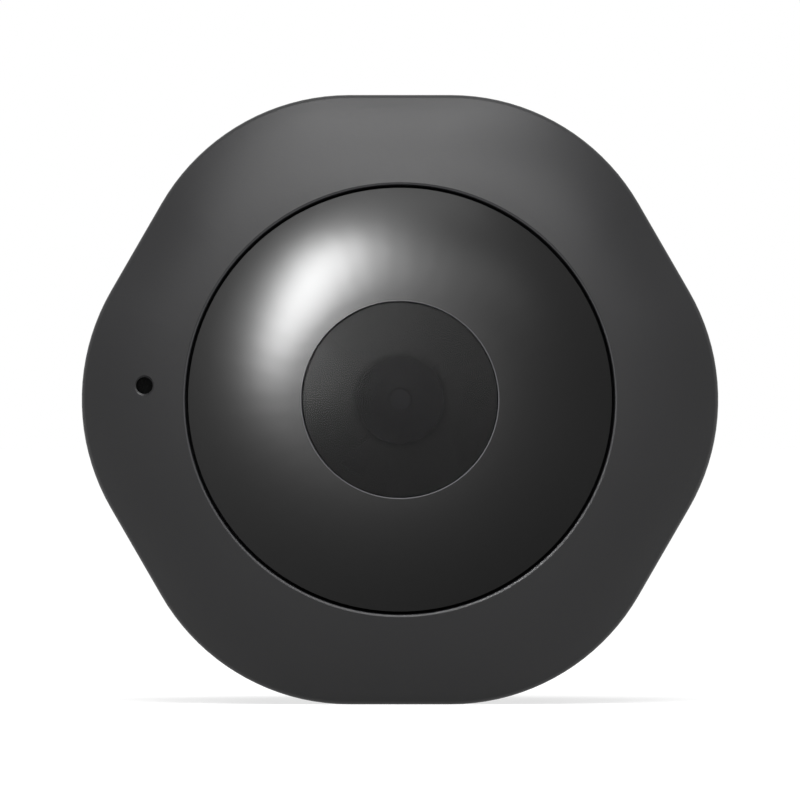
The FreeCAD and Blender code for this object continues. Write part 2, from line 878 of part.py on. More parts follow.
def light_sensor():
    return centred_block(lamp_circle_radius, 0, light_sensor_size, light_sensor_size,
                         ledge_rear_y - light_sensor_height, ledge_rear_y)


def board_link():
    """Pin strip that joins the lamp board to the main board."""
    start = ledge_rear_y + lamp_board_thickness
    length = link_pin_count * link_pin_pitch
    strip = centred_block(link_offset_x, 0, link_block_width, length,
                          board_front_y - link_block_height, board_front_y)
    for number in range(link_pin_count):
        z = (number - (link_pin_count - 1) / 2) * link_pin_pitch
        strip = strip.fuse(rod_y(link_pin_radius, start, board_front_y, link_offset_x, z))
    return strip


# Main board and what is soldered to it

def main_board():
    board = outline_prism(wall + board_inset, board_front_y, board_rear_y)
    for x, z in screw_stations():
        board = board.cut(rod_y(screw_hole_radius, board_front_y, board_rear_y, x, z))
    return board


def front_chip(x, z, width, length, height):
    """A chip with a small bevel round its top, on the board's front face."""
    chip = centred_block(x, z, width, length, board_front_y - height, board_front_y)
    return chip.makeChamfer(height / 8, [edge for edge in chip.Edges if lies_at(edge, board_front_y - height)])


def board_passives():
    """Small capacitors and resistors in a row above and a row below the lens holder."""
    pieces = []
    for side in (-1, 1):
        z = side * (holder_base / 2 + passive_margin + passive_width / 2)
        for number in range(passive_count):
            x = (number - (passive_count - 1) / 2) * passive_pitch
            pieces.append(centred_block(x, z, passive_length, passive_width,
                                        board_front_y - passive_height, board_front_y))
    return Part.makeCompound(pieces)


def usb_prism(inset, start, end):
    """The socket's cross-section, with its two lower corners cut off."""
    half_width = usb_width / 2 - inset
    half_height = usb_height / 2 - inset
    middle = board_front_y - usb_height / 2
    corner = usb_corner - inset / 2
    points = [
        (half_height, -half_width),
        (half_height, half_width),
        (corner - half_height, half_width),
        (-half_height, half_width - corner),
        (-half_height, corner - half_width),
        (corner - half_height, -half_width),
    ]
    corners = [vector(start, middle + y, z) for y, z in points]
    wire = Part.makePolygon(corners + corners[:1])
    return Part.Face(wire).extrude(vector(end - start, 0, 0))


def usb_socket():
    mouth = usb_mouth_x()
    shell = usb_prism(0, mouth - usb_length, mouth)
    return shell.cut(usb_prism(usb_sheet, mouth - usb_length, mouth))


def usb_tongue():
    mouth = usb_mouth_x()
    middle = board_front_y - usb_height / 2
    back = usb_prism(usb_sheet, mouth - usb_length, mouth - usb_length + usb_back_block)
    tongue = block(mouth - usb_length, mouth - usb_tongue_setback, middle - usb_tongue_thickness / 2,
                   middle + usb_tongue_thickness / 2, -usb_tongue_width / 2, usb_tongue_width / 2)
    return back.fuse(tongue)


def usb_contacts():
    mouth = usb_mouth_x()
    middle = board_front_y - usb_height / 2
    face = middle + usb_tongue_thickness / 2
    strips = []
    for number in range(usb_contact_count):
        z = (number - (usb_contact_count - 1) / 2) * usb_contact_pitch
        strips.append(block(mouth - usb_length + usb_back_block, mouth - 1.5 * usb_tongue_setback,
                            face, face + usb_contact_thickness,
                            z - usb_contact_width / 2, z + usb_contact_width / 2))
    return Part.makeCompound(strips)


def card_room():
    """Low and high y of the space that the card slides in, and its half width."""
    low = board_rear_y + card_base_thickness
    high = card_plane_y() + card_thickness / 2 + card_gap
    return low, high, card_width / 2 + card_gap


def card_end_x():
    """Inner end of the card's room."""
    return -corner_x(0, 0) + card_setback + card_length + card_travel_room


def card_socket_base():
    low, high, half_width = card_room()
    side = card_socket_side
    base = block(card_mouth_x(), card_end_x() + side, board_rear_y, high,
                 -half_width - side, half_width + side)
    return base.cut(block(card_mouth_x(), card_end_x(), low, high, -half_width, half_width))


def card_socket_cover():
    low, high, half_width = card_room()
    side = card_socket_side
    return block(card_mouth_x(), card_end_x() + side, high, high + card_cover_sheet,
                 -half_width - side, half_width + side)


def memory_card():
    """Card with the narrower contact end and the raised lip for a finger nail."""
    outer = -corner_x(0, 0) + card_setback
    inner = outer + card_length
    low = card_plane_y() - card_thickness / 2
    high = card_plane_y() + card_thickness / 2
    card = block(outer, inner, low, high, -card_width / 2, card_width / 2)
    card = card.fuse(block(outer, outer + card_lip_length, low - card_lip, low, -card_width / 2, card_width / 2))
    notch = block(inner - card_notch_length, inner, low, high, card_width / 2 - card_notch, card_width / 2)
    return card.cut(notch)


def top_inside():
    return across_flats / 2 - wall


def power_button():
    """Cap that fills the hole in the top flat, with a flange inside that keeps it in."""
    top = across_flats / 2 - button_recess
    flange_top = top_inside() - button_rib_gap
    cap = pill(button_length, button_width, flange_top - button_flange_thickness, top)
    rim = [edge for edge in cap.Edges if edge.BoundBox.ZMin > top - same_depth]
    cap = cap.makeChamfer(button_edge_break, rim)
    flange = pill(button_length + 2 * button_flange, button_width + 2 * button_flange,
                  flange_top - button_flange_thickness, flange_top)
    return cap.fuse(flange)


def switch_stem_top():
    return top_inside() - button_rib_gap - button_flange_thickness - button_rib_gap


def power_switch():
    """Side-acting switch body with a slot for its stem."""
    top = switch_stem_top() - switch_stem_out
    body = block(-switch_width / 2, switch_width / 2, board_front_y - switch_height, board_front_y,
                 top - switch_depth, top)
    half = switch_stem_width / 2 + switch_stem_gap
    room = switch_stem_thickness / 2 + switch_stem_gap
    middle = button_plane_y()
    slot = block(-half, half, middle - room, middle + room,
                 top - switch_stem_in - button_travel - switch_stem_gap, top)
    return body.cut(slot)


def power_switch_stem():
    top = switch_stem_top()
    middle = button_plane_y()
    return block(-switch_stem_width / 2, switch_stem_width / 2, middle - switch_stem_thickness / 2,
                 middle + switch_stem_thickness / 2, top - switch_stem_out - switch_stem_in, top)


def reset_face_x():
    """Outer face of the reset switch, just inside the board's edge."""
    return corner_x(wall + board_inset, port_spacing) - reset_edge_gap


def reset_switch():
    face = reset_face_x()
    body = block(face - reset_depth, face, board_front_y - reset_height, board_front_y,
                 -port_spacing - reset_width / 2, -port_spacing + reset_width / 2)
    half = reset_stem_width / 2 + switch_stem_gap
    middle = reset_plane_y()
    slot = block(face - reset_stem_in - reset_travel - switch_stem_gap, face, middle - half, middle + half,
                 -port_spacing - half, -port_spacing + half)
    return body.cut(slot)


def reset_switch_stem():
    face = reset_face_x()
    half = reset_stem_width / 2
    middle = reset_plane_y()
    return block(face - reset_stem_in, face + reset_stem_out, middle - half, middle + half,
                 -port_spacing - half, -port_spacing + half)


def status_led():
    end = light_pipe_start() - status_led_gap
    return block(end - status_led_length, end, board_front_y - status_led_height, board_front_y,
                 port_spacing - status_led_width / 2, port_spacing + status_led_width / 2)


def light_pipe_start():
    return corner_x(wall, port_spacing) - light_pipe_flange_length - light_pipe_gap


def light_pipe():
    """Clear rod that carries the status light to the outside of the right-hand corner."""
    y = light_plane_y()
    radius = light_pipe_radius
    start = light_pipe_start()
    rod = rod_x(radius, start, corner_x(0, 0) + wall, y, port_spacing)
    rod = rod.common(outline_prism(light_pipe_gap, front_y, back_y))
    flange = rod_x(radius + light_pipe_flange, start, start + light_pipe_flange_length, y, port_spacing)
    return rod.fuse(flange.common(outline_prism(wall + light_pipe_gap, front_y, back_y)))


# Microphone

def mic_boot():
    """Soft cup round the microphone, with a sound hole in its floor."""
    inner = mic_boot_radius - mic_boot_wall
    boot = rod_y(mic_boot_radius, mic_seat_y, mic_boot_end, mic_offset_x, mic_offset_z)
    boot = boot.cut(rod_y(mic_hole_radius, mic_seat_y, mic_boot_end, mic_offset_x, mic_offset_z))
    return boot.cut(rod_y(inner, mic_seat_y + mic_boot_floor, mic_boot_end, mic_offset_x, mic_offset_z))


def microphone():
    radius = mic_boot_radius - mic_boot_wall - seat_gap
    return rod_y(radius, mic_seat_y + mic_boot_floor, mic_boot_end, mic_offset_x, mic_offset_z)


def mic_leads():
    leads = []
    for side in (-1, 1):
        z = mic_offset_z + side * mic_lead_spacing / 2
        leads.append(rod_y(mic_lead_radius, mic_boot_end, board_front_y, mic_offset_x, z))
    return Part.makeCompound(leads)


# Battery

def spacer_front_y():
    low, high, half_width = card_room()
    return high + card_cover_sheet + part_room


def battery_span():
    """Front and back of the cell, and half its height between the posts."""
    half_height = station_z - post_radius - battery_clearance
    return spacer_front_y() + spacer_thickness, cup_front_y - tape_thickness, half_height


def battery_cell():
    start, end, half_height = battery_span()
    cell = block(-battery_width / 2, battery_width / 2 - guard_board_width, start, end,
                 -half_height, half_height)
    return softened(cell, battery_rounding, vector(1, 0, 0))


def battery_guard_board():
    start, end, half_height = battery_span()
    margin = battery_rounding
    return block(battery_width / 2 - guard_board_width, battery_width / 2, start + margin, end - margin,
                 margin - half_height, half_height - margin)


def battery_spacer():
    """Flat plastic plate that keeps the cell off the card socket."""
    start, end, half_height = battery_span()
    half = half_height - spacer_margin
    return block(-battery_width / 2 + spacer_margin, battery_width / 2 - spacer_margin, spacer_front_y(), start,
                 -half, half)


def battery_tape():
    start, end, half_height = battery_span()
    half = tape_size / 2
    return block(-half, half, end, cup_front_y, -half, half)


def connector_x():
    return battery_width / 2 + lead_overhang


def battery_connector():
    return centred_block(connector_x(), 0, connector_length, connector_width,
                         board_rear_y, board_rear_y + connector_height)


def battery_leads():
    """Two leads that leave the cell sideways and turn down into the connector."""
    start, end, half_height = battery_span()
    level = (start + end) / 2
    below = board_rear_y + connector_height
    bend = lead_bend_share * min(lead_overhang, level - below)
    middle = bend * (1 - math.sqrt(0.5))
    leads = []
    for side in (-1, 1):
        z = side * lead_spacing / 2
        x = connector_x()
        first = Part.LineSegment(vector(battery_width / 2, level, z), vector(x - bend, level, z)).toShape()
        turn = Part.Arc(vector(x - bend, level, z), vector(x - middle, level - middle, z),
                        vector(x, level - bend, z)).toShape()
        last = Part.LineSegment(vector(x, level - bend, z), vector(x, below, z)).toShape()
        path = Part.Wire([first, turn, last])
        circle = Part.Circle(vector(battery_width / 2, level, z), vector(1, 0, 0), lead_radius)
        section = Part.Wire([circle.toShape()])
        leads.append(path.makePipeShell([section], True, False))
    return Part.makeCompound(leads)


# Magnet

def magnet():
    return rod_y(magnet_radius, magnet_front_y, magnet_back_y)


def magnet_cover():
    """Round plate, flush with the back, that closes the magnet's cup."""
    plate = rod_y(cover_radius, cover_front_y, back_y)
    return plate.makeChamfer(cover_edge_break, [edge for edge in plate.Edges if lies_at(edge, back_y)])


pieces = {
    "front_shell": front_shell(),
    "rear_shell": rear_shell(),
    "housing_screws": housing_screws(),
    "front_window": front_window(),
    "window_mask": window_mask(),
    "lens_dome": lens_dome(),
    "dome_adhesive": dome_adhesive(),
    "lens_barrel": lens_barrel(),
    "lens_front_element": lens_front_element(),
    "lens_rear_element": lens_rear_element(),
    "lens_holder": lens_holder(),
    "ir_cut_filter": ir_cut_filter(),
    "image_sensor": image_sensor(),
    "light_baffle": light_baffle(),
    "lamp_board": lamp_board(),
    "lamp_board_screws": lamp_board_screws(),
    "infrared_lamps": infrared_lamps(),
    "light_sensor": light_sensor(),
    "board_link": board_link(),
    "main_board": main_board(),
    "processor": front_chip(0, processor_offset_z, processor_size, processor_size, processor_height),
    "wifi_module": front_chip(0, wifi_offset_z, wifi_width, wifi_length, wifi_height),
    "wifi_antenna": front_chip(antenna_offset_x, antenna_offset_z, antenna_length, antenna_width, antenna_height),
    "flash_memory": front_chip(memory_offset_x, memory_offset_z, memory_length, memory_width, memory_height),
    "power_inductor": front_chip(inductor_offset_x, inductor_offset_z, inductor_size, inductor_size,
                                 inductor_height),
    "board_passives": board_passives(),
    "usb_socket": usb_socket(),
    "usb_tongue": usb_tongue(),
    "usb_contacts": usb_contacts(),
    "card_socket_base": card_socket_base(),
    "card_socket_cover": card_socket_cover(),
    "memory_card": memory_card(),
    "power_button": power_button(),
    "power_switch": power_switch(),
    "power_switch_stem": power_switch_stem(),
    "reset_switch": reset_switch(),
    "reset_switch_stem": reset_switch_stem(),
    "status_led": status_led(),
    "light_pipe": light_pipe(),
    "mic_boot": mic_boot(),
    "microphone": microphone(),
    "mic_leads": mic_leads(),
    "battery_cell": battery_cell(),
    "battery_guard_board": battery_guard_board(),
    "battery_spacer": battery_spacer(),
    "battery_tape": battery_tape(),
    "battery_connector": battery_connector(),
    "battery_leads": battery_leads(),
    "magnet": magnet(),
    "magnet_cover": magnet_cover(),
}

os.makedirs("parts", exist_ok=True)
for name, shape in pieces.items():
    lifted = shape.copy()
    lifted.translate(vector(0, 0, axis_height))
    lifted.exportStep("parts/" + name + ".step")
    print(name, "solids", len(lifted.Solids), "valid", lifted.isValid(), "volume", round(lifted.Volume, 2))
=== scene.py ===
# %% [markdown]
# # A pocket security camera, dressed for its portrait
# The camera is a rounded six-sided puck of dark plastic. A satin dark dome is set in its face,
# a smoked window is set in the dome, and a small lens sits behind the window.
# Its solids arrive finished from the drawing side, so this script gives them their surfaces,
# sets them on a pale floor and lights them like a product photograph.
#
# The first cell loads the solids. They are in metres, and the lens looks along -Y.

# %% Load the solids
import json
import math

import bpy
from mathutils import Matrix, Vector


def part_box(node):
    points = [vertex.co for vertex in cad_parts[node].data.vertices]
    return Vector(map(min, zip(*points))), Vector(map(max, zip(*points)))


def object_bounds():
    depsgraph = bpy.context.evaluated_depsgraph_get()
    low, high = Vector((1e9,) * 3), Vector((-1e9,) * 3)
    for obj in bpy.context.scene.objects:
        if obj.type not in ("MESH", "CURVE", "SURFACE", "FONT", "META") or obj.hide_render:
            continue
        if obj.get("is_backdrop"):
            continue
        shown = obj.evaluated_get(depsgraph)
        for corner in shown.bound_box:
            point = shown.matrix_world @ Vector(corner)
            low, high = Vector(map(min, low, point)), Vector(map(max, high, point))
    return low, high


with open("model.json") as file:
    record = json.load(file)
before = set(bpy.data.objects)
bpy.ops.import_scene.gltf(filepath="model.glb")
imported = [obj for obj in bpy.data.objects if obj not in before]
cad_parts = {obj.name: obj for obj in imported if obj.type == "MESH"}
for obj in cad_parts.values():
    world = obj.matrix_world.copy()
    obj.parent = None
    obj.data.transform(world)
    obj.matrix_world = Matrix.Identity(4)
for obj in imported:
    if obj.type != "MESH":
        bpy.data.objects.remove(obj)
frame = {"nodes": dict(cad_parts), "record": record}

solid_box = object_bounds()
low, high = solid_box
millimetre = 0.001
print("pieces:", len(frame["nodes"]), "size in mm:", [round(side / millimetre, 2) for side in high - low])

# %% [markdown]
# ## The real sizes that everything else follows
# The housing rests on one of its six flats, so its height is its width across the flats, and the
# lens axis runs through the middle of that height.
# All places for lamps and the camera are measured from the axis, so they follow the object.

# %% Axis, height and a few lengths
axis_height = (low.z + high.z) / 2
across_flats = high.z - low.z
lens_axis = Vector((0, 0, axis_height))
dome_low, dome_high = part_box("lens_dome")
window_low, window_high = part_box("front_window")
dome_radius = (dome_high.x - dome_low.x) / 2
window_radius = (window_high.x - window_low.x) / 2
print("in mm: lens axis", round(axis_height / millimetre, 2), "high, dome radius",
      round(dome_radius / millimetre, 2), "and window radius", round(window_radius / millimetre, 2))

# %% [markdown]
# ## Helpers for materials
# A material is a small tree of nodes. One function adds a node, sets it and links it, so that
# a recipe further down reads as a list of what is on the surface.
# Colours are written as hex, the way a colour picker shows them, and one function turns them linear.
# A pattern's scale comes from the real size of one of its features in millimetres.

# %% Colours, nodes and a fresh surface
def linear(swatch):
    """An sRGB swatch such as #2b2b2d as linear red, green, blue and alpha."""
    channels = [int(swatch[start:start + 2], 16) / 255 for start in (1, 3, 5)]
    bent = [value / 12.92 if value <= 0.04045 else ((value + 0.055) / 1.055) ** 2.4
            for value in channels]
    return (*bent, 1.0)


def add_node(tree, kind, settings=None, links=None):
    """Adds one node: settings are its properties or socket values, links its incoming sockets."""
    node = tree.nodes.new(kind)
    for name, value in (settings or {}).items():
        if isinstance(name, str) and hasattr(node, name):
            setattr(node, name, value)
        else:
            node.inputs[name].default_value = value
    for name, output in (links or {}).items():
        tree.links.new(output, node.inputs[name])
    return node


def fresh_surface(name, swatch, roughness, **sockets):
    """A material with one shader, its constants set on the shader, and the position on the object."""
    material = bpy.data.materials.new(name)
    material.use_nodes = True
    tree = material.node_tree
    shader = tree.nodes["Principled BSDF"]
    shader.inputs["Base Color"].default_value = linear(swatch)
    shader.inputs["Roughness"].default_value = roughness
    for socket, value in sockets.items():
        shader.inputs[socket.replace("_", " ")].default_value = value
    position = add_node(tree, "ShaderNodeTexCoord").outputs["Object"]
    return material, tree, shader, position


def per_mm(size_mm):
    """Texture scale at which one feature measures this many millimetres."""
    return 1 / (size_mm * millimetre)


def from_lens_axis(tree, position):
    """Distance of a position from the lens axis, in metres."""
    offset = add_node(tree, "ShaderNodeVectorMath", {"operation": "SUBTRACT", 1: lens_axis},
                      {0: position})
    across = add_node(tree, "ShaderNodeVectorMath", {"operation": "MULTIPLY", 1: (1, 0, 1)},
                      {0: offset.outputs["Vector"]})
    return add_node(tree, "ShaderNodeVectorMath", {"operation": "LENGTH"},
                    {0: across.outputs["Vector"]}).outputs["Value"]


finishes = {}
housing_black = "#111112"
print("the housing's black in linear light:", [round(value, 4) for value in linear(housing_black)[:3]])

# %% [markdown]
# ## Moulded plastic
# The housing is ABS shot into a steel mould whose wall was spark-eroded. That leaves a fine even
# grain, which is what makes the plastic look soft and satin and not wet.
# One recipe covers every moulded piece: a grain of a given size and depth, which raises the surface
# and shifts its roughness a little, and a much larger, very weak flow pattern in the colour.
# A noise texture was chosen over a picture of grain, because it has no seams on curved pieces.
# Real spark grain is about 0.04 mm wide, finer than the 0.07 mm that a pixel covers, so it is drawn
# at 0.16 mm, as coarse as it needs to show. The grains of the other pieces are coarser than real too.

# %% Recipe for moulded plastic
noise_low = 0.3
noise_high = 0.7
flow_mm = 11.0
satin_swing = 0.03


def moulded_plastic(name, swatch, flow_swatch, roughness, grain_mm, depth_mm, specular):
    """Plastic with a raised grain and a slow drift of colour."""
    material, tree, shader, position = fresh_surface(name, swatch, roughness, Specular_IOR_Level=specular)
    flow = add_node(tree, "ShaderNodeTexNoise", {"Scale": per_mm(flow_mm), "Detail": 2.0},
                    {"Vector": position})
    tone = add_node(tree, "ShaderNodeMixRGB", {"Color1": linear(swatch), "Color2": linear(flow_swatch)},
                    {"Fac": flow.outputs["Fac"]})
    tree.links.new(tone.outputs["Color"], shader.inputs["Base Color"])
    grain = add_node(tree, "ShaderNodeTexNoise",
                     {"Scale": per_mm(grain_mm), "Detail": 2.0, "Roughness": 0.6}, {"Vector": position})
    rough = add_node(tree, "ShaderNodeMapRange",
                     {"From Min": noise_low, "From Max": noise_high,
                      "To Min": roughness - satin_swing, "To Max": roughness + satin_swing},
                     {"Value": grain.outputs["Fac"]})
    tree.links.new(rough.outputs["Result"], shader.inputs["Roughness"])
    bump = add_node(tree, "ShaderNodeBump", {"Strength": 1.0, "Distance": depth_mm * millimetre},
                    {"Height": grain.outputs["Fac"]})
    tree.links.new(bump.outputs["Normal"], shader.inputs["Normal"])
    return material


print("a noise usually runs from", noise_low, "to", noise_high, "and shifts roughness by", satin_swing)

# %% [markdown]
# ## The moulded pieces
# The housing, its button and its cover are ABS. Inside, the lens holder is nylon filled with glass,
# plugs and sockets are nylon or liquid crystal polymer, chips are moulded epoxy and the coil is ferrite.
# They differ only in shade, roughness, grain and shine, so a table of recipes shows them side by side.

# %% Moulded finishes
spark_grain_mm = 0.16
moulded_recipes = {
    # finish: material, colour, colour of the flow, roughness, grain in mm, grain's depth in mm, shine
    "shell_abs": ("abs_moulded_spark_grain", housing_black, "#141415", 0.44, spark_grain_mm, 0.004, 0.26),
    "button_abs": ("abs_moulded_button", "#2c2c2d", "#303031", 0.45, spark_grain_mm, 0.003, 0.3),
    "cover_abs": ("abs_moulded_smooth_cover", "#262627", "#29292a", 0.36, 0.5, 0.002, 0.3),
    "holder_plastic": ("glass_filled_nylon_holder", "#1f1f20", "#262627", 0.6, 0.12, 0.006, 0.3),
    "header_plastic": ("nylon_moulded_header", "#1d1d1d", "#252525", 0.5, 0.2, 0.003, 0.4),
    "socket_plastic": ("liquid_crystal_polymer_socket", "#191919", "#222222", 0.45, 0.15, 0.003, 0.4),
    "card_plastic": ("card_body_moulded_matt", "#1c1c1e", "#242426", 0.5, 0.1, 0.002, 0.4),
    "switch_stem": ("nylon_moulded_switch_stem", "#b9b6ac", "#c4c1b7", 0.5, 0.2, 0.003, 0.5),
    "spacer_plastic": ("polycarbonate_sheet_spacer", "#8f8f8a", "#9a9a95", 0.4, 0.6, 0.002, 0.5),
    "chip_epoxy": ("epoxy_moulded_chip", "#202124", "#2a2b2e", 0.55, 0.08, 0.004, 0.4),
    "inductor_ferrite": ("ferrite_pressed", "#3a3a3a", "#4a4948", 0.7, 0.1, 0.01, 0.4),
}
for finish, recipe in moulded_recipes.items():
    finishes[finish] = moulded_plastic(*recipe)
print("moulded finishes:", list(moulded_recipes))

# %% [markdown]
# ## Painted highlight on the lip of the groove
# Round the dome the bezel has a narrow slanting lip, and its slope catches the lamps above as a thin
# light line. That line is a painted highlight: a paler colour in a ring round the lens axis at the
# front of the housing, mixed in by half over the inner part of the lip and fading out over the rest.

# %% Painted highlight on the lip
groove_radius = dome_radius + 0.2 * millimetre
lip_start = groove_radius + 0.06 * millimetre
lip_fade = groove_radius + 0.12 * millimetre
lip_end = groove_radius + 0.2 * millimetre
# The share and the paler colour below are a painted highlight along the lip.
lip_highlight_share = 0.5
lip_highlight_colour = "#464648"

shell_tree = finishes["shell_abs"].node_tree
shell_shader = shell_tree.nodes["Principled BSDF"]
shell_position = shell_tree.nodes["Texture Coordinate"].outputs["Object"]
shell_radius = from_lens_axis(shell_tree, shell_position)
shell_axes = add_node(shell_tree, "ShaderNodeSeparateXYZ", links={"Vector": shell_position})
band = add_node(shell_tree, "ShaderNodeMapRange",
                {"From Min": lip_end, "From Max": lip_fade, "To Min": 0.0, "To Max": lip_highlight_share},
                {"Value": shell_radius})
in_front = add_node(shell_tree, "ShaderNodeMath", {"operation": "LESS_THAN", 1: dome_high.y},
                    {0: shell_axes.outputs["Y"]})
outside = add_node(shell_tree, "ShaderNodeMath", {"operation": "GREATER_THAN", 1: lip_start},
                   {0: shell_radius})
on_lip = add_node(shell_tree, "ShaderNodeMath", {"operation": "MULTIPLY"},
                  {0: in_front.outputs["Value"], 1: outside.outputs["Value"]})
painted_lip_highlight = add_node(shell_tree, "ShaderNodeMath", {"operation": "MULTIPLY"},
                  {0: on_lip.outputs["Value"], 1: band.outputs["Result"]})
# Mixes the painted highlight into the shell's own colour.
shell_colour_without_highlight = shell_shader.inputs["Base Color"].links[0].from_socket
lip_colour_with_highlight = add_node(shell_tree, "ShaderNodeMixRGB", {"Color2": linear(lip_highlight_colour)},
                       {"Fac": painted_lip_highlight.outputs["Value"], "Color1": shell_colour_without_highlight})
shell_tree.links.new(lip_colour_with_highlight.outputs["Color"], shell_shader.inputs["Base Color"])
print("rubbed from", round(lip_start / millimetre, 2), "to", round(lip_end / millimetre, 2),
      "mm off the axis")

# %% [markdown]
# ## The black groove
# The groove between dome and bezel shows as a black line, because little light gets down there.
# That shade is painted: the shader's reflection is taken to nothing inside the lip, and only to 3 mm
# behind the dome, because the back of the housing lies inside the same radius and keeps its shine.

# %% Painted shade in the groove
groove_shade_end = dome_high.y + 3 * millimetre
not_deep = add_node(shell_tree, "ShaderNodeMath", {"operation": "LESS_THAN", 1: groove_shade_end},
                    {0: shell_axes.outputs["Y"]})
inside = add_node(shell_tree, "ShaderNodeMath", {"operation": "SUBTRACT", 0: 1.0},
                  {1: outside.outputs["Value"]})
in_groove = add_node(shell_tree, "ShaderNodeMath", {"operation": "MULTIPLY"},
                     {0: not_deep.outputs["Value"], 1: inside.outputs["Value"]})
shell_shine = shell_shader.inputs["Specular IOR Level"]
# Painted shade: the groove's reflection is taken to nothing here.
painted_groove_shade = add_node(shell_tree, "ShaderNodeMapRange",
                      {"To Min": shell_shine.default_value, "To Max": 0.0},
                      {"Value": in_groove.outputs["Value"]})
shell_tree.links.new(painted_groove_shade.outputs["Result"], shell_shine)
print("no shine inside", round(lip_start / millimetre, 2), "mm off the axis, as far back as y =",
      round(groove_shade_end / millimetre, 2), "mm")

# %% [markdown]
# ## The dome
# The dome is polycarbonate from a polished mould, left a touch satin so that the lamp's reflection
# spreads into a soft bright crescent. Its moulding has a hardly visible ripple, a few millimetres
# long, called orange peel, and finer polish marks a tenth of a millimetre apart.
# A clear coat over a matt base would give two highlights, so one shader with a middling roughness is
# closer. Its index is that of polycarbonate, and its shine was matched to the photograph.

# %% Satin polycarbonate
dome_black = "#030303"
dome_roughness = 0.35
polish_swing = 0.01
polish_mm = 0.1
peel_mm = 3.0
peel_depth_mm = 0.003
dome, tree, shader, position = fresh_surface("polycarbonate_satin_polished", dome_black, dome_roughness,
                                             Specular_IOR_Level=0.06, IOR=1.585)
peel = add_node(tree, "ShaderNodeTexNoise", {"Scale": per_mm(peel_mm), "Detail": 1.0},
                {"Vector": position})
polish = add_node(tree, "ShaderNodeTexNoise", {"Scale": per_mm(polish_mm), "Detail": 1.0},
                  {"Vector": position})
satin = add_node(tree, "ShaderNodeMapRange",
                 {"From Min": noise_low, "From Max": noise_high,
                  "To Min": dome_roughness - polish_swing, "To Max": dome_roughness + polish_swing},
                 {"Value": polish.outputs["Fac"]})
tree.links.new(satin.outputs["Result"], shader.inputs["Roughness"])
ripple = add_node(tree, "ShaderNodeBump", {"Strength": 1.0, "Distance": peel_depth_mm * millimetre},
                  {"Height": peel.outputs["Fac"]})
tree.links.new(ripple.outputs["Normal"], shader.inputs["Normal"])
finishes["dome_polycarbonate"] = dome
print("dome roughness", dome_roughness, "with a ripple", peel_mm, "mm long")

# %% [markdown]
# ## Painted highlight on the edge of the dome's hole
# The edge break round the window's hole catches the lamps as a hairline of light on the side that
# faces them. That hairline is a painted highlight: the edge gets a colour paler than the polished face,
# in a ring round the lens axis like the lip's highlight, and it fades out where the edge break ends.

# %% Painted highlight on the hole's edge
hole_radius = window_radius + 0.05 * millimetre
edge_highlight_end = hole_radius + 0.09 * millimetre
edge_highlight_fade = hole_radius + 0.05 * millimetre
# The paler colour below is a painted highlight on the edge of the hole.
edge_highlight_colour = "#151516"
painted_edge_highlight = add_node(tree, "ShaderNodeMapRange", {"From Min": edge_highlight_end, "From Max": edge_highlight_fade},
                   {"Value": from_lens_axis(tree, position)})
rim_colour_with_highlight = add_node(tree, "ShaderNodeMixRGB",
                      {"Color1": linear(dome_black), "Color2": linear(edge_highlight_colour)},
                      {"Fac": painted_edge_highlight.outputs["Result"]})
tree.links.new(rim_colour_with_highlight.outputs["Color"], shader.inputs["Base Color"])
print("trimmed edge", round((edge_highlight_end - hole_radius) / millimetre, 2), "mm wide")

# %% [markdown]
# ## Clear pieces
# The window is smoked acrylic, the lenses and the filter are glass, and the light pipe is clear
# acrylic. They are clear solids, so the shader lets light through and bends it by the real index.
# The window's smoke is its colour, and its moulded face is slightly satin, which also blurs the edge
# of the lens well behind it. Coats against reflections are made as a darker tint of what each face
# reflects. The glass of the lens keeps about a seventh of what bare glass would reflect, and the
# filter's coat leaves a faint violet.

# %% Acrylic and glass
acrylic_index = 1.49


def clear_piece(name, swatch, roughness, index, haze_mm, **sockets):
    """A clear solid whose polish varies a little over patches of the given size."""
    material, tree, shader, position = fresh_surface(name, swatch, roughness,
                                                     Transmission_Weight=1.0, IOR=index, **sockets)
    haze = add_node(tree, "ShaderNodeTexNoise", {"Scale": per_mm(haze_mm), "Detail": 2.0},
                    {"Vector": position})
    spread = add_node(tree, "ShaderNodeMapRange",
                      {"From Min": noise_low, "From Max": noise_high,
                       "To Min": 0.9 * roughness, "To Max": 1.1 * roughness},
                      {"Value": haze.outputs["Fac"]})
    tree.links.new(spread.outputs["Result"], shader.inputs["Roughness"])
    return material


finishes["window_acrylic"] = clear_piece(
    "acrylic_smoked_moulded", "#a5a5a7", roughness=0.2, index=acrylic_index, haze_mm=2.0)
finishes["lens_glass"] = clear_piece(
    "glass_ground_and_coated", "#c9cfd2", roughness=0.02, index=1.62, haze_mm=1.0,
    Specular_Tint=linear("#6c6b71"))
finishes["filter_glass"] = clear_piece(
    "glass_filter_coated", "#8fc4cf", roughness=0.02, index=1.52, haze_mm=1.0,
    Specular_Tint=linear("#5a4a78"))
finishes["light_pipe_acrylic"] = clear_piece(
    "acrylic_clear_moulded", "#d9dddd", roughness=0.12, index=acrylic_index, haze_mm=0.5)
print("clear finishes:", [name for name in finishes if "acrylic" in name or "glass" in name])

# %% [markdown]
# ## The window's coat
# In the photograph the printed ring of the window shines more than the clear circle inside it, as if
# the coat were stronger over the lens. So the clear circle keeps about a sixth of the reflection of
# bare acrylic and the ring about a third, with a soft change between them.

